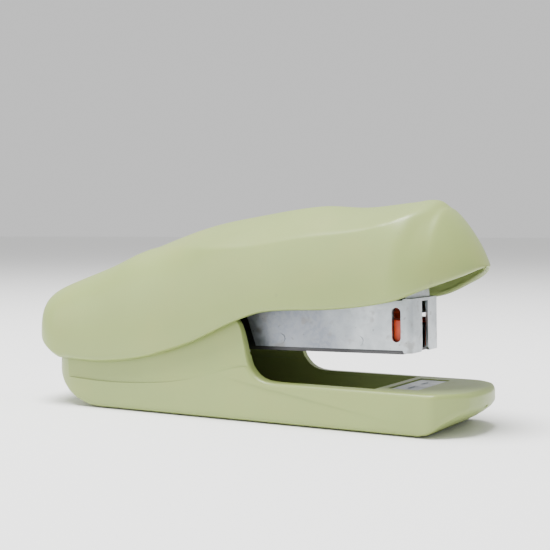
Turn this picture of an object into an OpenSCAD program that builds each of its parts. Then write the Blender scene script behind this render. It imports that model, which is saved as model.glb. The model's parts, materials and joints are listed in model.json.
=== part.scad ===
// Half-strip desk stapler, about 120 mm long.
// +X points to the nose, +Z up, and the hinge pin lies along Y.
// The origin is on the resting plane, midway along the length.

/* [Cover] */
// Length of the cover, which is the length of the whole stapler
cover_len = 120; // [118:0.5:121]
// Half-width of the cover at its widest
cover_half = 16.3; // [16.2:0.1:17]
// Wall of the moulded cover
cover_wall = 1.6; // [1.2:0.1:1.8]
// Squareness of the cover's cross-section, 2 is an ellipse
cover_square = 2.8; // [2.6:0.1:3]

/* [Base] */
// Half-width of the base below the step in its cheeks
base_half = 15.1; // [15:0.1:15.5]
// Half-width of the cheeks above the step, where the cover slides past
cheek_half = 13.9; // [13.8:0.1:14]
// Height of the deck that the paper lies on
deck_z = 9.5; // [9.5:0.1:10]
// Half-width of the long well in the base
well_half = 12.2; // [11.5:0.1:12.4]
// Thickness of the base's floor above the sole plate
floor_t = 1.4; // [1.2:0.1:1.6]
// Thickness of the sole plate
sole_t = 1; // [0.8:0.1:1.2]
// How far the rubber feet stand below the base
foot_proud = 0.3; // [0.2:0.1:0.5]

/* [Hinge] */
// Distance of the hinge pin behind the middle
pin_back = 46; // [45.5:0.1:46.5]
// Height of the hinge pin
pin_z = 20.5; // [20.3:0.1:20.8]
// Radius of the hinge pin
pin_r = 1.5; // [1.2:0.1:1.6]
// Running clearance of the parts that turn on the pin
pin_play = 0.05; // [0.02:0.01:0.1]

/* [Magazine] */
// Rise of the magazine towards its nose, in degrees
mag_tilt = 1.1; // [1:0.1:1.3]
// Distance from the pin to the front face of the nose
nose_u = 90.77; // [90:0.1:91]
// Half-width of the bright sleeve
sleeve_half = 7.9; // [7.9:0.05:8]
// Thickness of the sheet steel
sheet = 0.6; // [0.5:0.05:0.65]
// Width of the slot between the two flanges of the nose
nose_slot = 3.5; // [3:0.1:4]
// Length of the pusher
pusher_len = 12; // [10:0.5:14]

/* [Driver] */
// Width of the driver blade
blade_w = 12.6; // [12:0.1:12.8]
// Stroke of the handle on the magazine, in degrees
stroke = 5.5; // [5.3:0.1:5.6]

/* [Hidden] */
$fn = 48;

pin_x = -pin_back;
base_z = foot_proud;
tip = cover_len / 2;

// Heights in the magazine's frame, from the pin: v is up, u is forward.
channel_half = 7.2;
channel_low = -5.4;
channel_top = 6.5;
core_half = 5.8;
core_top = 0.8;
front_u = 88.4;
rod_v = 2.9;
rod_r = 0.9;
stop_u = 25;
sleeve_low = -4.5;
lever_end = 47;
lever_v = 7;
frame_v = 8;
frame_t = 1;
frame_half = 11.1;
bracket_out = 9.9;
spring_u = 15;
window_u = [86.1, 88.2];
window_v = [-1.6, 3.9];
blade_u = 88.95;
rivet_u = [58, 78];
frame_screw_u = [34, 66];

sage = [0.72, 0.74, 0.62];
steel = [0.72, 0.74, 0.76];
dark_steel = [0.3, 0.3, 0.31];
brass = [0.78, 0.66, 0.38];
red = [0.8, 0.22, 0.05];
rubber = [0.12, 0.12, 0.12];

// ---- curves ----

function seg(p, x, i = 0) = (i >= len(p) - 2 || x < p[i + 1][0]) ? i : seg(p, x, i + 1);
function slope(p, i) =
    let (a = max(i - 1, 0), b = min(i + 1, len(p) - 1))
    (p[b][1] - p[a][1]) / (p[b][0] - p[a][0]);
// Smooth curve through the points p, read at x
function curve(p, x) =
    let (i = seg(p, x), h = p[i + 1][0] - p[i][0], t = (x - p[i][0]) / h)
    (2 * t * t * t - 3 * t * t + 1) * p[i][1]
    + (t * t * t - 2 * t * t + t) * h * slope(p, i)
    + (3 * t * t - 2 * t * t * t) * p[i + 1][1]
    + (t * t * t - t * t) * h * slope(p, i + 1);
function grade(p, x) = (curve(p, x + 0.2) - curve(p, x - 0.2)) / 0.4;
function arc(c, r, a0, a1, n = 8) =
    [for (k = [0 : n]) c + r * [cos(a0 + (a1 - a0) * k / n), sin(a0 + (a1 - a0) * k / n)]];
function oval(t, n) = pow(max(1 - pow(min(abs(t), 1), n), 0), 1 / n);

// ---- cover form ----

heel_x = -48;                       // where the round heel of the cover begins
heel_len = tip + heel_x;
nose_len = 11;
// Crown of the cover in side view
crown = [[-48, 32.8], [-38, 36.7], [-24, 41.4], [-12, 44.9], [2, 47.3], [19, 49.6],
    [31, 49.6], [42, 50.6], [48, 50.5], [51.5, 48.9], [55, 45.4], [58.4, 40.4], [60.2, 36.2]];
// Lower rim of the cover in side view
rim = [[-48, 12.1], [-36, 11.6], [-23, 13.2], [-10, 16.9], [4, 23.1], [12, 25.6],
    [30, 26.8], [43, 28.8], [53, 31.9], [60.2, 36.6]];

function heel(x, d) = oval((x - heel_x) / (heel_len - d), 2);
function half_at(x, d) =
    (cover_half - d) * (x < heel_x ? oval((x - heel_x) / (heel_len - d), 2.3)
        : x > tip - nose_len ? oval((x - tip + nose_len) / (nose_len - d), 2.4) : 1);
function rim_at(x, d) =
    x < heel_x ? pin_z - (pin_z - rim[0][1]) * heel(x, d) : curve(rim, x);
function crown_at(x, d) =
    x < heel_x ? pin_z + (crown[0][1] + (x - heel_x) * slope(crown, 0) - d * 1.07 - pin_z) * heel(x, d)
        : max(curve(crown, x) - d * sqrt(1 + pow(grade(crown, x), 2)), curve(rim, x) + 0.15);
// One cross-section of the cover, from the +Y rim over the crown to the -Y rim
function cover_ring(x, d, m) =
    let (w = half_at(x, d), z0 = rim_at(x, d), z1 = crown_at(x, d))
    [for (j = [0 : m]) let (a = 180 * j / m, c = cos(a))
        [x, sign(c) * w * pow(abs(c), 2 / cover_square),
            z0 + (z1 - z0) * pow(abs(sin(a)), 2 / cover_square)]];
function cover_x(k, n, d) = -(tip - d) * cos(180 * (k + 0.4) / (n + 0.8));

// Closed sheet between an outer and an inner grid that share an open rim
module cover_sheet(n = 36, m = 20, wall = cover_wall) {
    w = m + 1;
    size = (n + 1) * w;
    outer = [for (k = [0 : n]) each cover_ring(cover_x(k, n, 0), 0, m)];
    inner = [for (k = [0 : n]) each cover_ring(cover_x(k, n, wall), wall, m)];
    skin = [for (k = [0 : n - 1], j = [0 : m - 1]) let (a = k * w + j)
        each [[a, a + w, a + 1], [a + 1, a + w, a + w + 1]]];
    lining = [for (f = skin) [f[0] + size, f[2] + size, f[1] + size]];
    edge = [for (k = [0 : n - 1]) let (a = k * w, b = a + m)
        each [[a, a + size, a + w], [a + w, a + size, a + w + size],
            [b, b + w, b + size], [b + w, b + w + size, b + size]]];
    last = n * w;
    caps = [
        [for (j = [0 : m]) j], [for (j = [m : -1 : 0]) j + size],
        [for (j = [m : -1 : 0]) last + j], [for (j = [0 : m]) last + j + size],
        [0, m, m + size, size], [last + m, last, last + size, last + m + size]
    ];
    polyhedron(concat(outer, inner), concat(skin, lining, edge, caps), convexity = 6);
}

// ---- helpers ----

// Side-view outline extruded across the stapler
module across(points, y0, y1) {
    translate([0, y1, 0]) rotate([90, 0, 0]) linear_extrude(y1 - y0) polygon(points);
}
module both_sides() {
    children();
    mirror([0, 1, 0]) children();
}
module rod_y(r, y0, y1) {
    translate([0, y1, 0]) rotate([90, 0, 0]) cylinder(r = r, h = y1 - y0);
}
module box(a, b) {
    translate(a) cube(b - a);
}
// Places a part in the magazine's frame, turned up by a further angle
module on_pin(turn = 0) {
    translate([pin_x, 0, pin_z]) rotate([0, -mag_tilt - turn, 0]) children();
}
// Round wire wound along Z
module coil(radius, wire, length, turns, sides = 6, steps = 12) {
    n = turns * steps;
    points = [for (k = [0 : n], s = [0 : sides - 1])
        let (a = 360 * k / steps, b = 360 * s / sides, r = radius + wire * cos(b))
        [r * cos(a), r * sin(a), wire + (length - 2 * wire) * k / n + wire * sin(b)]];
    wrap = [for (k = [0 : n - 1], s = [0 : sides - 1])
        let (a = k * sides + s, b = k * sides + (s + 1) % sides)
        each [[a, b, a + sides], [b, b + sides, a + sides]]];
    ends = [[for (s = [sides - 1 : -1 : 0]) s], [for (s = [0 : sides - 1]) n * sides + s]];
    polyhedron(points, concat(wrap, ends), convexity = 8);
}

// ---- base ----

heel_base = [-52.6, 10.8];
cheek_top = 23.6;
nose_x = 59.7;
// Outline of the base in side view
function base_outline() = concat(
    [[-36.5, base_z], [49.1, base_z], [52.5, 1.4], [55, 2.8], [57.8, 4.2]],
    arc([nose_x - 1.8, 6.2], 1.8, -45, 0, 4),
    arc([nose_x - 1.2, deck_z - 1.2], 1.2, 0, 90, 5),
    [[13.4, deck_z], [10.3, 10.2], [8.2, 11.7], [6.9, 13.9], [6.2, 16.7], [5.4, 20.1], [4.4, 22.6]],
    [[3, cheek_top], [-8, 22], [-22, 18.4], [-36, 15], [-46, 13]],
    [heel_base, [-50.2, 7.3], [-47.2, 4.2], [-43.8, 2.2]]
);
function base_plan() = concat(
    arc([heel_base[0] + 11, 11 - base_half], 11, 180, 270),
    arc([nose_x - 6.2, 5 - base_half], 5, 270, 330),
    arc([nose_x - 6.2, base_half - 5], 5, 30, 90),
    arc([heel_base[0] + 11, base_half - 11], 11, 90, 180)
);
// The step in the cheeks: above this line the base is narrower
step_line = [[-60, 8], [-37, 6.8], [-25, 7], [-14, 8], [-4.5, 10], [0.5, 11.8], [4, 12.6], [9, 13], [9, 24], [-60, 24]];
foot_at = [for (x = [-26, 40], y = [-10, 10]) [x, y]];
screw_at = [for (x = [-12, 30], y = [-9, 9]) [x, y]];
bracket_rivet_at = [for (x = [-33, -20], y = [-6.4, 6.4]) [x, y]];
floor_z = base_z + sole_t + floor_t;

module base_shell() color(sage) {
    difference() {
        intersection() {
            across(base_outline(), -base_half, base_half);
            linear_extrude(30) polygon(base_plan());
        }
        // long well, open upwards, with its floor above the sole plate
        across([[-35.5, floor_z], [38, floor_z], [38, 30], [-46, 30], [-50.6, 11], [-48, 7.4], [-42.6, 3.8]],
            -well_half, well_half);
        // room for the pin's ends between the cheeks
        across([[-46, 30], [-52, 12], [-40, 12], [6, 12], [9, 30]], -12.6, 12.6);
        both_sides() across(step_line, cheek_half, base_half + 1);
        // seat of the anvil plate
        box([40.06, -9.3, deck_z - 0.8], [46.75, 9.3, deck_z + 1]);
        // pocket under the deck and the recess of the sole plate
        box([40.2, -12.4, -1], [50.6, 12.4, deck_z - 2.4]);
        box([-34, -13, -1], [50.6, 13, base_z + sole_t]);
        for (p = screw_at) translate([p[0], p[1], 0]) cylinder(r = 1, h = 8);
        for (p = bracket_rivet_at) translate([p[0], p[1], 0]) cylinder(r = 1, h = 8);
    }
}

module sole_plate() color(sage * 0.8) {
    difference() {
        box([-33.8, -12.8, base_z], [50.4, 12.8, base_z + sole_t]);
        for (p = foot_at) translate([p[0], p[1], -1]) cylinder(r = 3, h = 1.5 + base_z);
        for (p = screw_at) translate([p[0], p[1], -1]) cylinder(r = 1.9, h = 1.5 + base_z);
        for (p = screw_at) translate([p[0], p[1], -1]) cylinder(r = 1, h = 8);
    }
}

module rubber_feet() color(rubber) {
    for (p = foot_at) translate([p[0], p[1], 0]) cylinder(r = 3, h = 0.5 + base_z);
}

module sole_screws() color(steel) {
    for (p = screw_at) translate([p[0], p[1], 0]) difference() {
        union() {
            translate([0, 0, base_z + 0.1]) cylinder(r = 1.8, h = 0.4);
            translate([0, 0, base_z + 0.1]) cylinder(r = 1, h = floor_z + 0.8 - base_z);
        }
        translate([0, 0, base_z]) cylinder(r = 0.8, h = 0.35, $fn = 6);
    }
}

anvil_z = deck_z - 0.2;
module anvil_plate() color(steel) {
    difference() {
        box([40.26, -9.1, deck_z - 0.8], [46.55, 9.1, anvil_z]);
        // two grooves that curl the legs of a staple inwards
        for (y = [-3.9, 3.9])
            translate([42.9, y, anvil_z + 8.2]) rotate([0, 90, 0]) cylinder(r = 8.6, h = 1.3);
    }
}

module hinge_bracket() color(dark_steel) {
    difference() {
        union() {
            box([-35.3, -bracket_out, floor_z], [-14, bracket_out, floor_z + 1]);
            both_sides() {
                across([[-35, floor_z], [-18, floor_z], [-42.6, 22.6], [-49.6, 22.1], [-49.2, 18]],
                    8.7, bracket_out);
                translate([pin_x, 0, pin_z]) rod_y(4, 8.7, bracket_out);
            }
        }
        translate([pin_x, 0, pin_z]) rod_y(pin_r, -20, 20);
        for (p = bracket_rivet_at) translate([p[0], p[1], 0]) cylinder(r = 1, h = 8);
    }
}

module bracket_rivets() color(steel) {
    for (p = bracket_rivet_at) translate([p[0], p[1], 0]) {
        translate([0, 0, base_z + sole_t]) cylinder(r = 1, h = floor_t + 1.2);
        translate([0, 0, floor_z + 1]) cylinder(r = 1.6, h = 0.7);
    }
}

module hinge_pin() color(steel) {
    translate([pin_x, 0, pin_z]) {
        rod_y(pin_r, -11.3, 12.1);
        rod_y(pin_r + 0.9, -12.1, -11.3);
    }
}

module pin_clip() color(dark_steel) {
    translate([pin_x, 0, pin_z]) difference() {
        rod_y(pin_r + 1.1, 11.3, 11.9);
        rod_y(pin_r, 11, 12.5);
        box([0, 11, -0.5], [4, 12.5, 0.5]);
    }
}

// Side line of the leaf spring, from its foot to its tip under the channel
leaf = [[-30, 4.1], [-21, 4.1], [-17.5, 5], [-11, 10.6], [-7.4, 14.3], [-5.4, 15.3], [-3.4, 14.6]];
module return_spring() color(steel) {
    under = [for (k = [len(leaf) - 1 : -1 : 0]) leaf[k] - [0, 0.4]];
    across(concat(leaf, under), -4, 4);
}

// ---- magazine ----

module slot_v(y0, y1) {
    for (y = [y0, -y1]) {
        translate([window_u[0], y, window_v[0]]) cube([window_u[1] - window_u[0], y1 - y0, window_v[1] - window_v[0]]);
        for (v = window_v)
            translate([(window_u[0] + window_u[1]) / 2, y + y1 - y0, v])
                rotate([90, 0, 0]) cylinder(d = window_u[1] - window_u[0], h = y1 - y0);
    }
}

module magazine_channel() color(dark_steel) on_pin() {
    difference() {
        union() {
            both_sides() {
                across([[0, 4.4], [6, channel_top], [front_u, channel_top], [front_u, channel_low],
                    [9, channel_low], [0, -4.4]], channel_half - sheet, channel_half);
                rod_y(4.4, channel_half - sheet, channel_half);
            }
            box([9, -channel_half, channel_low], [front_u, channel_half, channel_low + sheet]);
        }
        rod_y(pin_r + pin_play, -20, 20);
        slot_v(6.4, 7.4);
        for (u = rivet_u) translate([u, 0, -2.6]) rod_y(0.8, -20, 20);
    }
}

module core_rail() color(dark_steel) on_pin() {
    difference() {
        box([9, -core_half, channel_low + sheet], [front_u, core_half, core_top]);
        box([8, -core_half + sheet, channel_low], [front_u + 1, core_half - sheet, core_top - sheet]);
    }
}

// Plan of the sleeve: two sides that turn in round corners to the nose
module sleeve_plan(half, end, r) {
    translate([40, -half]) square([end - r - 40, 2 * half]);
    translate([40, r - half]) square([end - 40, 2 * (half - r)]);
    for (s = [-1, 1]) translate([end - r, s * (half - r)]) circle(r = r);
}

module magazine_sleeve() color(steel) on_pin() {
    difference() {
        translate([0, 0, -5.1]) linear_extrude(12) difference() {
            sleeve_plan(sleeve_half, nose_u, 1.2);
            sleeve_plan(sleeve_half - 0.65, nose_u - 0.65, 0.55);
        }
        // slanted rear end, and the edges behind the nose
        across([[39, 8], [46.9, 8], [51.2, -4.6], [51.2, -6], [39, -6]], -9, 9);
        across([[39, sleeve_low], [88.6, sleeve_low], [89.4, -6], [39, -6]], -9, 9);
        across([[39, channel_top], [88.6, channel_top], [89.4, 8], [39, 8]], -9, 9);
        // slot of the nose, flared at its foot and closed at the top by a narrow strap
        translate([nose_u - 3, 0, 0]) rotate([90, 0, 90]) linear_extrude(5) polygon([
            [-3.1, -6], [3.1, -6], [nose_slot / 2, -4.4], [nose_slot / 2, 6.2],
            [-nose_slot / 2, 6.2], [-nose_slot / 2, -4.4]]);
        slot_v(7, 8.2);
        for (u = rivet_u) translate([u, 0, -2.6]) rod_y(0.8, -20, 20);
    }
}

module sleeve_rivets() color(steel) on_pin() {
    for (u = rivet_u) translate([u, 0, -2.6]) both_sides() {
        rod_y(0.8, channel_half - sheet, sleeve_half + 0.02);
        rod_y(1.1, sleeve_half, sleeve_half + 0.15);
    }
}

module rear_stop() color(dark_steel) on_pin() {
    difference() {
        union() {
            box([stop_u, -6.4, core_top], [stop_u + 1.2, 6.4, 6]);
            box([19.5, -5, core_top], [stop_u + 0.1, 5, core_top + 0.8]);
        }
        translate([stop_u - 1, 0, rod_v]) rotate([0, 90, 0]) cylinder(r = rod_r, h = 4);
    }
}

module guide_rod() color(steel) on_pin() {
    translate([stop_u - 0.6, 0, rod_v]) rotate([0, 90, 0]) {
        cylinder(r = rod_r, h = front_u - stop_u + 0.5);
        cylinder(r = 1.4, h = 0.6);
    }
}

module pusher_spring() color(steel) on_pin() {
    translate([stop_u + 1.3, 0, rod_v]) rotate([0, 90, 0])
        coil(1.65, 0.2, front_u - pusher_len - stop_u - 1.5, 22);
}

module lift_spring() color(steel) on_pin() {
    translate([spring_u, 0, core_top]) coil(2.6, 0.35, 7.4, 5, 6, 14);
}

module hinge_spacer() color(brass) on_pin() {
    difference() {
        rod_y(2.7, -6.5, 6.5);
        rod_y(pin_r + pin_play, -7, 7);
    }
}

module pusher() color(red) on_pin() {
    rear = front_u - pusher_len;
    difference() {
        union() {
            box([rear, -6.5, core_top + 0.1], [front_u, 6.5, 2.2]);
            both_sides() box([rear, core_half + 0.15, -4.5], [front_u, 6.5, 2.2]);
            box([rear, -2, 2], [front_u, 2, rod_v]);
            translate([rear, 0, rod_v]) rotate([0, 90, 0]) cylinder(r = 2, h = pusher_len);
        }
        translate([rear - 1, 0, rod_v]) rotate([0, 90, 0]) cylinder(r = rod_r + 0.08, h = 30);
    }
}

// ---- lever and handle ----

module pressure_lever() color(dark_steel) on_pin(stroke) {
    difference() {
        union() {
            box([8, -8.3, lever_v], [lever_end, 8.3, lever_v + 0.8]);
            both_sides() {
                across([[-1, 3.8], [5, lever_v + 0.8], [lever_end, lever_v + 0.8],
                    [lever_end, 5.2], [9, 3], [3, -2.4]], 7.5, 8.3);
                rod_y(3.9, 7.5, 8.3);
            }
        }
        rod_y(pin_r + pin_play, -20, 20);
        box([24, -3, lever_v - 1], [40, 3, lever_v + 2]);
    }
}

module handle_frame() color(steel * 0.8) on_pin(stroke) {
    difference() {
        union() {
            box([14, -frame_half, frame_v], [91, frame_half, frame_v + frame_t]);
            both_sides() {
                across([[-1, 3.8], [12, frame_v], [15, frame_v + frame_t], [88, frame_v + frame_t],
                    [88, 6.2], [20, 3], [3, -2.4]], frame_half - 0.8, frame_half);
                rod_y(3.9, frame_half - 0.8, frame_half);
            }
        }
        rod_y(pin_r + pin_play, -20, 20);
        for (u = frame_screw_u) translate([u, 0, 0]) cylinder(r = 1.2, h = 20);
        for (y = [-3.5, 3.5]) translate([82, y, 0]) cylinder(r = 0.9, h = 20);
    }
}

// The blade stands square to the pin at half stroke, so it is turned up by half of it
blade_low = -1;
blade_top = 12.25;
tab_v = frame_v - sheet;
module driver_blade() color(steel) {
    on_pin(stroke / 2) box([blade_u, -blade_w / 2, blade_low], [blade_u + sheet, blade_w / 2, blade_top]);
    on_pin(stroke) difference() {
        box([76, -5, tab_v], [89.7, 5, frame_v]);
        for (y = [-3.5, 3.5]) translate([82, y, 0]) cylinder(r = 0.9, h = 20);
    }
}

module driver_rivets() color(steel) on_pin(stroke) {
    for (y = [-3.5, 3.5]) translate([82, y, 0]) {
        translate([0, 0, tab_v]) cylinder(r = 0.9, h = sheet + frame_t + 0.1);
        translate([0, 0, frame_v + frame_t]) cylinder(r = 1.5, h = 0.6);
    }
}

// Lengths that bury each boss in the crown above it
boss_len = [10.4, 11.6];
module cover_shell() color(sage) {
    cover_sheet();
    // bosses that take the frame's screws, grown down from the crown
    on_pin(stroke) for (k = [0, 1]) translate([frame_screw_u[k], 0, frame_v + frame_t]) difference() {
        cylinder(r = 2.8, h = boss_len[k]);
        translate([0, 0, -1]) cylinder(r = 1.2, h = 6);
    }
}

module frame_screws() color(steel) on_pin(stroke) {
    for (u = frame_screw_u) translate([u, 0, frame_v]) {
        cylinder(r = 1.2, h = 5);
        translate([0, 0, -0.15]) cylinder(r = 2, h = 0.15);
    }
}

base_shell();
sole_plate();
rubber_feet();
sole_screws();
anvil_plate();
hinge_bracket();
bracket_rivets();
hinge_pin();
pin_clip();
return_spring();
magazine_channel();
core_rail();
magazine_sleeve();
sleeve_rivets();
rear_stop();
guide_rod();
pusher_spring();
lift_spring();
hinge_spacer();
pusher();
pressure_lever();
cover_shell();
handle_frame();
driver_blade();
driver_rivets();
frame_screws();
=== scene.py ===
"""Half-strip desk stapler in sage-green plastic and plated steel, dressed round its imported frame."""

import json
import math

import bmesh
import bpy
from mathutils import Matrix, Vector

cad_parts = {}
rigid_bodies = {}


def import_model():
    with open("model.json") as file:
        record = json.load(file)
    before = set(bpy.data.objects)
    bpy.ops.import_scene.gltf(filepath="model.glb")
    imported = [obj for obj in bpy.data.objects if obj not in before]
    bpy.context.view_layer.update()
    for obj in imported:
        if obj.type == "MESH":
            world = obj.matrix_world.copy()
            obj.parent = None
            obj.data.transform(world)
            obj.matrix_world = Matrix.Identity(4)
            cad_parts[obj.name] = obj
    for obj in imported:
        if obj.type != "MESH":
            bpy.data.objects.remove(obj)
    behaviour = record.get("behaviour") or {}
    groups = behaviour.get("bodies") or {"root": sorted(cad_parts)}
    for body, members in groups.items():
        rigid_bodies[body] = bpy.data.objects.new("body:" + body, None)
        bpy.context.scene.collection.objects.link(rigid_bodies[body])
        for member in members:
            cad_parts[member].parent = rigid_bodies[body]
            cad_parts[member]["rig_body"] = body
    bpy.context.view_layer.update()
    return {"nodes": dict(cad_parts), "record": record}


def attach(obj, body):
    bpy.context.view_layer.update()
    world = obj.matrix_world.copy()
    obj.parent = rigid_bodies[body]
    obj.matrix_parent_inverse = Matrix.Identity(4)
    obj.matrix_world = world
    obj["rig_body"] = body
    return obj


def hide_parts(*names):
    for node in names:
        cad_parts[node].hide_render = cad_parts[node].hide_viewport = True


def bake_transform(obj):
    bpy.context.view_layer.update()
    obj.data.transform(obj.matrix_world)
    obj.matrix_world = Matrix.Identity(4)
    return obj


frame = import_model()

MM = 0.001
PIN = Vector((-46, 0, 20.5))            # hinge pin, millimetres
MAG_TILT = math.radians(1.1)            # rise of the magazine towards its nose


# ---------------------------------------------------------------- camera and light

def make_camera():
    """A long lens at desk height, looking past the nose from the near side."""
    data = bpy.data.cameras.new("camera")
    data.sensor_width = 36
    data.lens = 74.53
    data.clip_start = 0.01
    eye = bpy.data.objects.new("camera", data)
    bpy.context.scene.collection.objects.link(eye)
    turn, dip = math.radians(29.803), math.radians(2.165)
    back = Vector((math.sin(turn) * math.cos(dip), -math.cos(turn) * math.cos(dip), math.sin(dip)))
    right = Vector((math.cos(turn), math.sin(turn), 0))
    up = back.cross(right)
    place = Matrix((right, up, back)).transposed().to_4x4()
    place.translation = Vector((0.142065, -0.23769, 0.043752))
    eye.matrix_world = place
    bpy.context.scene.camera = eye


def make_floor():
    mesh = bpy.data.meshes.new("floor")
    bm = bmesh.new()
    bmesh.ops.create_grid(bm, x_segments=1, y_segments=1, size=8)
    bm.to_mesh(mesh)
    bm.free()
    floor = bpy.data.objects.new("floor", mesh)
    bpy.context.scene.collection.objects.link(floor)
    paint = Finish("pale_floor", (0.9, 0.9, 0.895), 0.9)
    paint.set("Specular IOR Level", 0.1)
    mesh.materials.append(paint.material)


def area_light(name, place, target, size, power):
    data = bpy.data.lights.new(name, "AREA")
    data.shape = "DISK"
    data.size = size
    data.energy = power
    lamp = bpy.data.objects.new(name, data)
    bpy.context.scene.collection.objects.link(lamp)
    lamp.location = place
    aim = Vector(target) - Vector(place)
    lamp.rotation_euler = aim.to_track_quat("-Z", "Y").to_euler()


def make_light():
    """A plain white room and two soft boxes."""
    world = bpy.data.worlds.new("studio")
    bpy.context.scene.world = world
    world.use_nodes = True
    room = world.node_tree.nodes["Background"]
    room.inputs["Color"].default_value = (1, 1, 1, 1)
    room.inputs["Strength"].default_value = 0.8
    centre = (0, 0, 0.025)
    area_light("top", (-0.1, -0.12, 0.8), centre, 0.5, 18.0)
    area_light("key", (-0.55, -0.75, 0.42), centre, 0.7, 3.0)


# ---------------------------------------------------------------- curves of the form

def smooth_step(low, high, x):
    t = min(max((x - low) / (high - low), 0), 1)
    return t * t * (3 - 2 * t)


def curve(points, x):
    """Smooth curve through a few points, read at x."""
    i = 0
    while i < len(points) - 2 and x >= points[i + 1][0]:
        i += 1

    def slope(k):
        a, b = points[max(k - 1, 0)], points[min(k + 1, len(points) - 1)]
        return (b[1] - a[1]) / (b[0] - a[0])

    (x0, y0), (x1, y1) = points[i], points[i + 1]
    h = x1 - x0
    t = (x - x0) / h
    return ((2 * t**3 - 3 * t**2 + 1) * y0 + (t**3 - 2 * t**2 + t) * h * slope(i)
            + (3 * t**2 - 2 * t**3) * y1 + (t**3 - t**2) * h * slope(i + 1))


def oval(t, n):
    return max(1 - min(abs(t), 1) ** n, 0) ** (1 / n)


# ---------------------------------------------------------------- mesh helpers

def finish_piece(name, bm, body, finish, replaces=(), smooth=35):
    """Turns millimetre geometry into a piece in its finish, which rides on a body unless it bends."""
    bmesh.ops.scale(bm, vec=(MM, MM, MM), verts=bm.verts)
    mesh = bpy.data.meshes.new(name)
    bm.to_mesh(mesh)
    bm.free()
    mesh.polygons.foreach_set("use_smooth", [True] * len(mesh.polygons))
    mesh.set_sharp_from_angle(angle=math.radians(smooth))
    mesh.materials.append(finish.material)
    piece = bpy.data.objects.new(name, mesh)
    bpy.context.scene.collection.objects.link(piece)
    if body:
        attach(piece, body)
    if replaces:
        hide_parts(*replaces)
    return piece


def break_edges(piece, width, angle):
    """Rounds the edges that are sharper than an angle in degrees, and shades the flats evenly."""
    edges = piece.modifiers.new("broken_edges", "BEVEL")
    edges.width = width * MM
    edges.segments = 2
    edges.limit_method = "ANGLE"
    edges.angle_limit = math.radians(angle)
    even = piece.modifiers.new("even_shade", "WEIGHTED_NORMAL")
    even.keep_sharp = True


def side_outline(bm, points, y0, y1):
    """Side-view outline pushed out from y0 to y1."""
    base = bm.faces.new([bm.verts.new((x, y0, z)) for x, z in points])
    pushed = bmesh.ops.extrude_face_region(bm, geom=[base])["geom"]
    moved = [v for v in pushed if isinstance(v, bmesh.types.BMVert)]
    bmesh.ops.translate(bm, vec=(0, y1 - y0, 0), verts=moved)
    bmesh.ops.recalc_face_normals(bm, faces=bm.faces)
    return bm


def arc(cx, cz, r, start, end, n=6):
    return [(cx + r * math.cos(math.radians(start + (end - start) * k / n)),
             cz + r * math.sin(math.radians(start + (end - start) * k / n))) for k in range(n + 1)]


# ---------------------------------------------------------------- cover

TIP = 59.4
REAR = -59.9
HEEL_X = -48                            # the heel rounds off behind this
NOSE_LEN = 17
NOSE_LEAD = 0.024                       # how fast the nose sweeps back from its middle line
COVER_HALF = 16.3
COVER_WALL = 1.3
RIM_ROUND = 0.8
COLUMN_CROWDING = 1.25                  # above 1, the columns crowd towards the rims
END_GAP = 0.9999                        # keeps the end rows off the tips, where they would be a point
EDGE_BLEND = 0.02                       # softening of the facet's edge, as a share of the half section
# Side view of the crown's middle line, and of the lower rim
CROWN = [(-48, 31.9), (-38, 35.5), (-27, 40.2), (-12, 45.0), (2, 47.6), (19, 49.8), (31, 49.4),
         (42, 50.4), (48, 50.8), (51.3, 48.4), (54.2, 45.2), (57.1, 40.9), (59.4, 36.3)]
RIM = [(-48, 12.1), (-36, 11.6), (-23, 13.2), (-10, 16.9), (4, 23.1), (12, 25.6), (30, 26.8),
       (43, 28.8), (51, 32.0), (56, 34.2), (59.4, 36.3)]
# The top facet: half its width, and how far its edge lies below the crown
FACET_WIDEST = 13
FACET_HALF = [(-31, 0), (-27, 2.2), (-22, 5.2), (-16, 8.6), (-9, 11.4), (-2, 12.7), (5, FACET_WIDEST),
              (38, FACET_WIDEST), (43, 12), (46.5, 9.5), (49, 5.5), (50.5, 0)]
FACET_FALL = [(-31, 0), (-27, 0.4), (-22, 1.6), (-16, 3.5), (-9, 5.6), (-2, 6.8), (5, 7.5), (12, 7.6),
              (20, 7.1), (30, 5.6), (38, 5), (43, 4.3), (46.5, 2.9), (49, 1.2), (50.5, 0)]
FACET_SHARE = 0.4                       # how much of a half section the facet takes where it is widest
FACET_SWELL = 1.3                       # 1 would be a flat facet
FACET_LIMIT = 0.85                      # of the cover's half width, where the ends narrow
END_FADE = 0.12                         # share over which that softening fades at the rim and the middle


def heel_part(x):
    return (x - HEEL_X) / (HEEL_X - REAR)


def cover_half(x):
    if x < HEEL_X:
        return COVER_HALF * oval(heel_part(x), 2.35)
    if x > TIP - NOSE_LEN:
        return COVER_HALF * oval((x - TIP + NOSE_LEN) / NOSE_LEN, 1.72)
    return COVER_HALF


def rim_height(x):
    if x < HEEL_X:
        return PIN.z - (PIN.z - RIM[0][1]) * oval(heel_part(x), 1.25)
    return curve(RIM, x)


def crown_height(x, y):
    if x < HEEL_X:
        (x0, z0), (x1, z1) = CROWN[:2]
        line = z0 + (x - x0) * (z1 - z0) / (x1 - x0)
        return PIN.z + (line - PIN.z) * oval(heel_part(x), 4)
    return curve(CROWN, min(x + NOSE_LEAD * y * y * smooth_step(34, 48, x), TIP))


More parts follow.
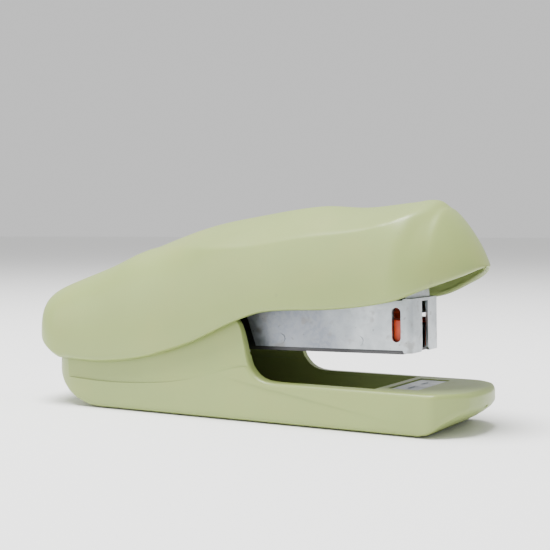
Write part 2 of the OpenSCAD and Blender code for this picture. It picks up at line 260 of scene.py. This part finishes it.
def cover_section(x, t):
    """Half a section of the cover: t runs from 0 at the rim to 1 at the middle line."""
    facet = max(curve(FACET_HALF, x), 0) if FACET_HALF[0][0] < x < FACET_HALF[-1][0] else 0
    fall = max(curve(FACET_FALL, x), 0) if facet else 0
    half, low = cover_half(x), rim_height(x)
    facet = min(facet, half * FACET_LIMIT)
    square = 2.9 - 0.7 * smooth_step(-50, 8, x) + 0.4 * smooth_step(40, 50, x)
    share = FACET_SHARE * facet / FACET_WIDEST
    if t > 1 - share:
        y = facet * (1 - t) / share
        return y, crown_height(x, y) - fall * (y / facet) ** FACET_SWELL
    last = math.acos((facet / max(half, 0.01)) ** (square / 2))
    angle = last * t / (1 - share)
    y = half * math.cos(angle) ** (2 / square)
    side_top = (crown_height(x, y) - fall - low) / math.sin(last) ** (2 / square)
    return y, low + max(side_top, 0.1) * math.sin(angle) ** (2 / square)


def cover_point(x, side):
    """A point of the skin: side runs from -1 at one rim to 1 at the other."""
    t = 1 - abs(side)
    blend = EDGE_BLEND * smooth_step(0, END_FADE, t) * smooth_step(0, END_FADE, 1 - t)
    spots = [cover_section(x, t - blend), cover_section(x, t), cover_section(x, t + blend)]
    y, z = (sum(spot[k] for spot in spots) / len(spots) for k in (0, 1))
    low = rim_height(x)
    tuck = max(1 - (z - low) / RIM_ROUND, 0)
    y = max(y - RIM_ROUND * (1 - math.sqrt(max(1 - tuck * tuck, 0))), 0)
    return Vector((x, math.copysign(y, side), z))


def make_cover(finish):
    """The cover's skin, with its wall inside it. Rows crowd towards both ends."""
    bm = bmesh.new()
    bmesh.ops.create_grid(bm, x_segments=190, y_segments=121, size=1)
    middle, reach = (TIP + REAR) / 2, (TIP - REAR) / 2
    for v in bm.verts:
        spread = math.copysign(1 - (1 - abs(v.co.y)) ** COLUMN_CROWDING, v.co.y)
        v.co = cover_point(middle + reach * math.sin(math.pi / 2 * v.co.x * END_GAP), spread)
    bmesh.ops.remove_doubles(bm, verts=bm.verts, dist=0.005)
    bmesh.ops.recalc_face_normals(bm, faces=bm.faces)
    if sum(f.normal.z for f in bm.faces) < 0:
        bmesh.ops.reverse_faces(bm, faces=bm.faces)
    piece = finish_piece("cover", bm, "handle", finish, ["cover_shell"], 50)
    wall = piece.modifiers.new("wall", "SOLIDIFY")
    wall.thickness = COVER_WALL * MM
    wall.offset = -1


# ---------------------------------------------------------------- base

BASE_HALF = 15.1
CHEEK_HALF = 14.8
BASE_LOW = 0.3
DECK = 9.5
REAR_X = -53.7
NOSE_X = 59.4
EDGE_ROUND = 1.1
EDGE_STEPS = 5
HEEL_ROUND = 11                         # corner radius of the heel in plan
NOSE_ROUND = 9                          # length of the nose's corners in plan
NOSE_FLAT = 0.3                         # stops those corners short of meeting at the tip
NOSE_SWEEP = 0.016                      # how fast the nose sweeps back from its middle line
CHEEK_DRAFT = 0.005                     # how much the cheeks narrow for each millimetre of height
WELL_HALF = 12.2


def base_half(x):
    if x < REAR_X + HEEL_ROUND:
        return BASE_HALF - HEEL_ROUND + math.sqrt(max(HEEL_ROUND**2 - (REAR_X + HEEL_ROUND - x) ** 2, 0))
    if x > NOSE_X - NOSE_ROUND:
        along = (x - NOSE_X + NOSE_ROUND) / (NOSE_ROUND + NOSE_FLAT)
        return BASE_HALF - NOSE_ROUND + NOSE_ROUND * oval(along, 2.2)
    return BASE_HALF


def base_outline():
    top_rear = [(3, 23.6), (-2, 22.9), (-8, 22), (-15, 20.3), (-22, 18.4), (-29, 16.7), (-36, 15), (-46, 13)]
    rear = [(-53.6, 11.6), (-52.4, 9.4), (-50.6, 7.2), (-48.4, 5.2), (-45.9, 3.4), (-43.4, 2),
            (-41.1, 1.1), (-38.9, 0.5), (-36.5, BASE_LOW)]
    bottom = [(x, BASE_LOW) for x in (-20, 0, 20, 40, 49.1)]
    chin = [(51, 0.75), (53, 1.6), (55, 2.7), (57, 3.8), (58.6, 5)]
    front = arc(NOSE_X - 1.8, 6.6, 1.8, -30, 0, 3) + arc(NOSE_X - 1.4, DECK - 1.4, 1.4, 10, 90, 5)
    deck = [(x, DECK) for x in (56.5, 55, 53.5, 40, 26)]
    cheek = [(15, DECK), (13.4, 9.55), (11.7, 9.75), (10.3, 10.2), (9.1, 10.9), (8.2, 11.8), (7.4, 12.9),
             (6.9, 14.1), (6.5, 15.6), (6.1, 17.4), (5.6, 19.2), (5.1, 20.9), (4.5, 22.3), (3.9, 23.2)]
    return rear + bottom + chin + front + deck + cheek + top_rear


def outline_normals(points):
    """Outward normals of a closed outline that runs anticlockwise."""
    normals = []
    for k in range(len(points)):
        (x0, z0), (x1, z1) = points[k - 1], points[(k + 1) % len(points)]
        normals.append(Vector((z1 - z0, 0, x0 - x1)).normalized())
    return normals


def slice_through(bm, place, facing):
    bmesh.ops.bisect_plane(bm, geom=bm.verts[:] + bm.edges[:] + bm.faces[:], plane_co=place, plane_no=facing)


def base_solid():
    """The outline swept across the width with round edges, cut into slices, then narrowed to its plan."""
    points = base_outline()
    normals = outline_normals(points)
    bm = bmesh.new()
    rings = []
    for side in (-1, 1):
        for k in range(EDGE_STEPS + 1):
            turn = math.pi / 2 * (k / EDGE_STEPS if side > 0 else 1 - k / EDGE_STEPS)
            inset, out = EDGE_ROUND * (1 - math.cos(turn)), EDGE_ROUND * math.sin(turn)
            ring = []
            for (x, z), n in zip(points, normals):
                p = Vector((x, 0, z)) - n * inset
                p.y = side * (BASE_HALF - EDGE_ROUND + out)
                ring.append(bm.verts.new(p))
            rings.append(ring)
    for a, b in zip(rings, rings[1:]):
        for k in range(len(points)):
            bm.faces.new((a[k - 1], a[k], b[k], b[k - 1]))
    for ring in (rings[0], rings[-1]):
        bm.faces.new(ring)
    bmesh.ops.recalc_face_normals(bm, faces=bm.faces)
    for k in range(13):
        slice_through(bm, (REAR_X + 0.4 + 0.9 * k, 0, 0), (1, 0, 0))
    for k in range(13):
        slice_through(bm, (NOSE_X - 0.25 - 0.7 * k, 0, 0), (1, 0, 0))
    for y in (-12, -9, -6, -3, 0, 3, 6, 9, 12):
        slice_through(bm, (0, y, 0), (0, 1, 0))
    for v in bm.verts:
        v.co.y *= base_half(v.co.x) / BASE_HALF * (1 - CHEEK_DRAFT * max(v.co.z - DECK, 0))
        v.co.x -= NOSE_SWEEP * v.co.y ** 2 * smooth_step(NOSE_X - NOSE_ROUND, NOSE_X, v.co.x)
    return bm


def make_cutter(name, outlines, lean=0):
    """A throwaway block for cutting. With a lean, its sides draw in above the deck's level."""
    bm = bmesh.new()
    for points, y0, y1 in outlines:
        side_outline(bm, points, y0, y1)
    for v in bm.verts:
        v.co.y -= math.copysign(lean * (v.co.z - DECK), v.co.y)
    bmesh.ops.scale(bm, vec=(MM, MM, MM), verts=bm.verts)
    mesh = bpy.data.meshes.new(name)
    bm.to_mesh(mesh)
    bm.free()
    cutter = bpy.data.objects.new(name, mesh)
    bpy.context.scene.collection.objects.link(cutter)
    return cutter


def cut(piece, cutters):
    """Takes each cutter out of a piece, and leaves a plain mesh."""
    for cutter in cutters:
        knife = piece.modifiers.new("cut", "BOOLEAN")
        knife.object = cutter
        knife.operation = "DIFFERENCE"
        knife.solver = "EXACT"
    depsgraph = bpy.context.evaluated_depsgraph_get()
    mesh = bpy.data.meshes.new_from_object(piece.evaluated_get(depsgraph))
    piece.modifiers.clear()
    piece.data = mesh
    for cutter in cutters:
        bpy.data.objects.remove(cutter)


def make_base(finish):
    piece = finish_piece("base", base_solid(), "base", finish, ["base_shell"], 40)
    floor = 2.7
    well = [(-35.5, floor), (38, floor), (38, 30), (-46, 30), (-50.6, 11), (-48, 7.4), (-42.6, 3.8)]
    pin_room = [(-46, 30), (-52, 12), (-40, 12), (6, 12), (9, 30)]
    seat = [(39.75, DECK - 1.3), (47.05, DECK - 1.3), (47.05, DECK + 1), (39.75, DECK + 1)]
    recess = [(-34, -1), (50.6, -1), (50.6, 1.3), (-34, 1.3)]
    pocket = [(40.2, 1), (50.6, 1), (50.6, DECK - 2.4), (40.2, DECK - 2.4)]
    step = [(-60, 8), (-37, 6.8), (-31, 6.75), (-25, 7), (-19, 7.4), (-14, 8), (-9, 8.9), (-4.5, 10),
            (-1, 11.1), (2, 12), (5, 12.6), (9, 13), (9, 26), (-60, 26)]
    mark = [(NOSE_X - 0.5, 5.5), (NOSE_X + 2, 5.5), (NOSE_X + 2, 6), (NOSE_X - 0.5, 6)]
    cut(piece, [
        make_cutter("well", [(well, -WELL_HALF, WELL_HALF)]),
        make_cutter("pin_room", [(pin_room, -12.5, 12.5)]),
        make_cutter("seat", [(seat, -9.6, 9.6)]),
        make_cutter("recess", [(recess, -13, 13)]),
        make_cutter("pocket", [(pocket, -12.4, 12.4)]),
        make_cutter("step", [(step, CHEEK_HALF, 17), (step, -17, -CHEEK_HALF)], CHEEK_DRAFT * BASE_HALF),
        make_cutter("mark", [(mark, -1.4, 0.6)]),
    ])
    break_edges(piece, 0.12, 50)


# ---------------------------------------------------------------- steelwork

def softened(node, finish, width):
    """A pressed or moulded part with the broken edges of a real one, in place of its plain node."""
    source = frame["nodes"][node]
    bm = bmesh.new()
    bm.from_mesh(source.data)
    bmesh.ops.remove_doubles(bm, verts=bm.verts, dist=2e-6)
    bmesh.ops.dissolve_limit(bm, angle_limit=math.radians(1), verts=bm.verts, edges=bm.edges)
    bmesh.ops.scale(bm, vec=(1 / MM, 1 / MM, 1 / MM), verts=bm.verts)
    piece = finish_piece(node + "_piece", bm, source["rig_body"], finish, [node], 30)
    break_edges(piece, width, 40)


def magazine_point(u, v):
    """A point that is u forward of the pin and v above it, along and across the tilted magazine."""
    lean_u, lean_v = math.cos(MAG_TILT), math.sin(MAG_TILT)
    return PIN + Vector((u * lean_u - v * lean_v, 0, u * lean_v + v * lean_u))


def coil(start, end, radius, wire, turns):
    """Round wire wound from start to end."""
    axis = (end - start).normalized()
    side = axis.cross(Vector((0, 1, 0))).normalized()
    rise = (end - start).length - 2 * wire
    first = start + axis * wire + side * radius
    bm = bmesh.new()
    ring = bmesh.ops.create_circle(bm, cap_ends=False, segments=10, radius=wire)["verts"]
    facing = Matrix((side, axis, side.cross(axis))).transposed().to_4x4()
    bmesh.ops.transform(bm, matrix=Matrix.Translation(first) @ facing, verts=ring)
    steps = 20 * turns
    bmesh.ops.spin(bm, geom=bm.verts[:] + bm.edges[:], cent=start, axis=axis, dvec=axis * rise / steps,
                   angle=2 * math.pi * turns, steps=steps, use_duplicate=False)
    bmesh.ops.holes_fill(bm, edges=bm.edges[:], sides=12)
    bmesh.ops.recalc_face_normals(bm, faces=bm.faces)
    return bm


def make_springs(finish):
    foot, top = magazine_point(15, 0.85), magazine_point(15, 8.1)
    lift = finish_piece("lift_coil", coil(foot, top, 2.6, 0.35, 5), None, finish, ["lift_spring"])
    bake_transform(lift)
    rear, front = magazine_point(26.4, 2.9), magazine_point(76.2, 2.9)
    push = finish_piece("pusher_coil", coil(rear, front, 1.6, 0.2, 26), None, finish, ["pusher_spring"])
    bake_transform(push)
    leaf_gauge = 0.4
    line = [(-30, 3.9), (-25, 3.9), (-21, 3.9), (-19.2, 4.15), (-17.5, 4.9), (-15.6, 6.3), (-13.4, 8.2),
            (-11, 10.4), (-9, 12.5), (-7.4, 14.1), (-6.4, 14.8), (-5.4, 15.1), (-4.4, 14.9), (-3.4, 14.4)]
    strip = side_outline(bmesh.new(), line + [(x, z - leaf_gauge) for x, z in reversed(line)], -4, 4)
    leaf = finish_piece("return_leaf", strip, None, finish, ["return_spring"])
    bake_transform(leaf)


# ---------------------------------------------------------------- finishes

class Value:
    """What a socket gives at each spot of a surface. Arithmetic on numbers adds Math nodes."""

    def __init__(self, finish, socket):
        self.finish, self.socket = finish, socket

    def math(self, operation, a, b):
        return self.finish.node("ShaderNodeMath", {"operation": operation}, {0: a, 1: b})

    def __add__(self, other):
        return self.math("ADD", self, other)

    def __sub__(self, other):
        return self.math("SUBTRACT", self, other)

    def __rsub__(self, other):
        return self.math("SUBTRACT", other, self)

    def __mul__(self, other):
        return self.math("MULTIPLY", self, other)

    __radd__ = __add__
    __rmul__ = __mul__


class Finish:
    """A material slot's finish: constants on the shader, and what varies over the surface linked to it."""

    def __init__(self, slot, color, roughness, metallic=0.0):
        self.slot = slot
        self.material = bpy.data.materials.new(slot)
        self.material.use_nodes = True
        self.tree = self.material.node_tree
        self.shader = self.tree.nodes["Principled BSDF"]
        self.set("Base Color", (*color, 1))
        self.set("Roughness", roughness)
        self.set("Metallic", metallic)

    def node(self, kind, settings, sockets, output=0):
        made = self.tree.nodes.new(kind)
        for key, value in settings.items():
            setattr(made, key, value)
        for key, value in sockets.items():
            if isinstance(value, Value):
                self.tree.links.new(value.socket, made.inputs[key])
            else:
                made.inputs[key].default_value = value
        return Value(self, made.outputs[output])

    def set(self, socket, value):
        if isinstance(value, Value):
            self.tree.links.new(value.socket, self.shader.inputs[socket])
        else:
            self.shader.inputs[socket].default_value = value

    def place(self, stretch=(1, 1, 1)):
        spot = self.node("ShaderNodeTexCoord", {}, {}, "Object")
        return self.node("ShaderNodeMapping", {}, {"Vector": spot, "Scale": stretch})

    def noise(self, scale, detail=3.0, stretch=(1, 1, 1)):
        sockets = {"Vector": self.place(stretch), "Scale": scale, "Detail": detail}
        return self.node("ShaderNodeTexNoise", {}, sockets)

    def along(self, axis):
        """The Object coordinate along an axis, 0 to 2, in metres."""
        spot = self.node("ShaderNodeTexCoord", {}, {}, "Object")
        return self.node("ShaderNodeSeparateXYZ", {}, {0: spot}, axis)

    def ramp(self, value, low, high):
        """0 below low and 1 above high, smooth between them."""
        return self.node("ShaderNodeMapRange", {"interpolation_type": "SMOOTHSTEP"},
                         {"Value": value, "From Min": low, "From Max": high})

    def mix(self, share, first, second):
        """From the first colour to the second as the share goes from 0 to 1."""
        first, second = (c if isinstance(c, Value) else (*c, 1) for c in (first, second))
        return self.node("ShaderNodeMix", {"data_type": "RGBA"}, {0: share, 6: first, 7: second}, 2)

    def bump(self, height, distance, strength):
        sockets = {"Height": height, "Distance": distance, "Strength": strength}
        self.set("Normal", self.node("ShaderNodeBump", {}, sockets))


def shade(color, factor):
    return tuple(c * factor for c in color)


def sage_plastic():
    """Satin-gloss moulded plastic: a slow drift of tone, a faint moulding texture and a few dark specks."""
    tone = (0.26, 0.325, 0.10)
    plastic = Finish("sage_plastic", tone, 0.36)
    drift = plastic.ramp(plastic.noise(38, 4), 0.3, 0.7)
    base = plastic.mix(drift, shade(tone, 0.955), shade(tone, 1.04))
    warm = plastic.ramp(plastic.noise(95, 2), 0.45, 0.75)
    base = plastic.mix(warm * 0.35, base, (0.285, 0.32, 0.097))
    specks = plastic.ramp(plastic.noise(420, 1), 0.735, 0.80)
    plastic.set("Base Color", plastic.mix(specks * 0.18, base, (0.15, 0.15, 0.09)))
    rub = plastic.noise(160, 5)
    plastic.set("Roughness", 0.36 + rub * 0.14)
    plastic.set("Coat Weight", 0.15)
    plastic.set("Coat Roughness", 0.18)
    plastic.bump(plastic.noise(2600, 3) + rub * 0.8, 0.000025, 0.5)
    return plastic


def plated_steel():
    """Nickel plate, mottled grey, darker towards the rear and bright near the nose, with pin-prick stains."""
    steel = Finish("plated_steel", (0.5, 0.52, 0.55), 0.34, 1.0)
    cloud = steel.ramp(steel.noise(110, 6), 0.36, 0.64)
    fleck = steel.ramp(steel.noise(900, 5), 0.40, 0.62)
    # The plate's colour goes from darker at the rear to bright near the nose, set by position along its
    # length.
    nose = steel.ramp(steel.along(0) + (steel.noise(140, 4) - 0.5) * 0.016, 0.024, 0.031)
    rear_dark_grey = steel.mix(cloud, (0.23, 0.25, 0.29), (0.30, 0.32, 0.36))
    rear_dark_grey = steel.mix(fleck * 0.55, rear_dark_grey, (0.38, 0.40, 0.43))
    bright = steel.mix(cloud, (0.36, 0.39, 0.41), (0.51, 0.54, 0.56))
    plate = steel.mix(nose, rear_dark_grey, bright)
    smear = steel.ramp(steel.noise(330, 5), 0.58, 0.70)
    plate = steel.mix(smear * 0.4, plate, (0.20, 0.18, 0.15))
    spot = steel.ramp(steel.noise(750, 1), 0.70, 0.74)
    steel.set("Base Color", steel.mix(spot * 0.35, plate, (0.09, 0.08, 0.07)))
    steel.set("Roughness", 0.28 + (1 - nose) * 0.14 + fleck * 0.12)
    steel.bump(steel.noise(1400, 4), 0.00002, 0.5)
    return steel


def dark_steel():
    steel = Finish("dark_steel", (0.06, 0.06, 0.062), 0.42, 1.0)
    wipe = steel.noise(260, 5, (0.15, 1, 1))
    steel.set("Base Color", steel.mix(steel.ramp(wipe, 0.4, 0.7), (0.045, 0.045, 0.047), (0.12, 0.12, 0.125)))
    steel.set("Roughness", 0.32 + wipe * 0.22)
    steel.bump(steel.noise(1500, 3), 0.00002, 0.5)
    return steel


def spring_steel():
    steel = Finish("spring_steel", (0.5, 0.51, 0.53), 0.3, 1.0)
    drawn = steel.noise(900, 3)
    steel.set("Base Color", steel.mix(steel.ramp(drawn, 0.35, 0.7), (0.38, 0.385, 0.4), (0.56, 0.57, 0.6)))
    steel.set("Roughness", 0.22 + drawn * 0.2)
    return steel


def turned_brass():
    brass = Finish("turned_brass", (0.7, 0.5, 0.22), 0.3, 1.0)
    rings = brass.noise(700, 3, (0.05, 1, 0.05))
    brass.set("Base Color", brass.mix(brass.ramp(rings, 0.3, 0.7), (0.55, 0.38, 0.15), (0.78, 0.58, 0.28)))
    brass.set("Roughness", 0.22 + rings * 0.2)
    return brass


def orange_plastic():
    plastic = Finish("orange_plastic", (0.62, 0.05, 0.008), 0.38)
    cloud = plastic.noise(300, 4)
    patch = plastic.ramp(cloud, 0.3, 0.7)
    plastic.set("Base Color", plastic.mix(patch, (0.50, 0.035, 0.006), (0.72, 0.075, 0.012)))
    plastic.set("Roughness", 0.3 + cloud * 0.16)
    plastic.bump(plastic.noise(2200, 2), 0.00002, 0.5)
    return plastic


def black_rubber():
    rubber = Finish("black_rubber", (0.025, 0.025, 0.025), 0.75)
    dust = rubber.noise(600, 5)
    patch = rubber.ramp(dust, 0.5, 0.75)
    rubber.set("Base Color", rubber.mix(patch, (0.02, 0.02, 0.02), (0.06, 0.058, 0.052)))
    rubber.set("Roughness", 0.65 + dust * 0.25)
    rubber.bump(dust, 0.00005, 0.6)
    return rubber


# ---------------------------------------------------------------- the stapler

make_camera()
make_floor()
make_light()
finishes = {made.slot: made for made in (sage_plastic(), plated_steel(), dark_steel(), spring_steel(),
                                         turned_brass(), orange_plastic(), black_rubber())}
slot_of = {part["node"]: part["material_slot"] for part in frame["record"]["subparts"]}
for name, node in frame["nodes"].items():
    for slot in node.material_slots:
        slot.material = finishes[slot_of[name]].material

make_cover(finishes["sage_plastic"])
make_base(finishes["sage_plastic"])
make_springs(finishes["spring_steel"])
BROKEN_EDGES = {
    "magazine_sleeve": 0.14, "magazine_channel": 0.1, "core_rail": 0.1, "anvil_plate": 0.12, "pusher": 0.25,
    "driver_blade": 0.08, "handle_frame": 0.15, "pressure_lever": 0.15, "hinge_bracket": 0.15,
    "rear_stop": 0.12, "sole_plate": 0.2, "rubber_feet": 0.25, "pin_clip": 0.08,
}
for name, width in BROKEN_EDGES.items():
    softened(name, finishes[slot_of[name]], width)
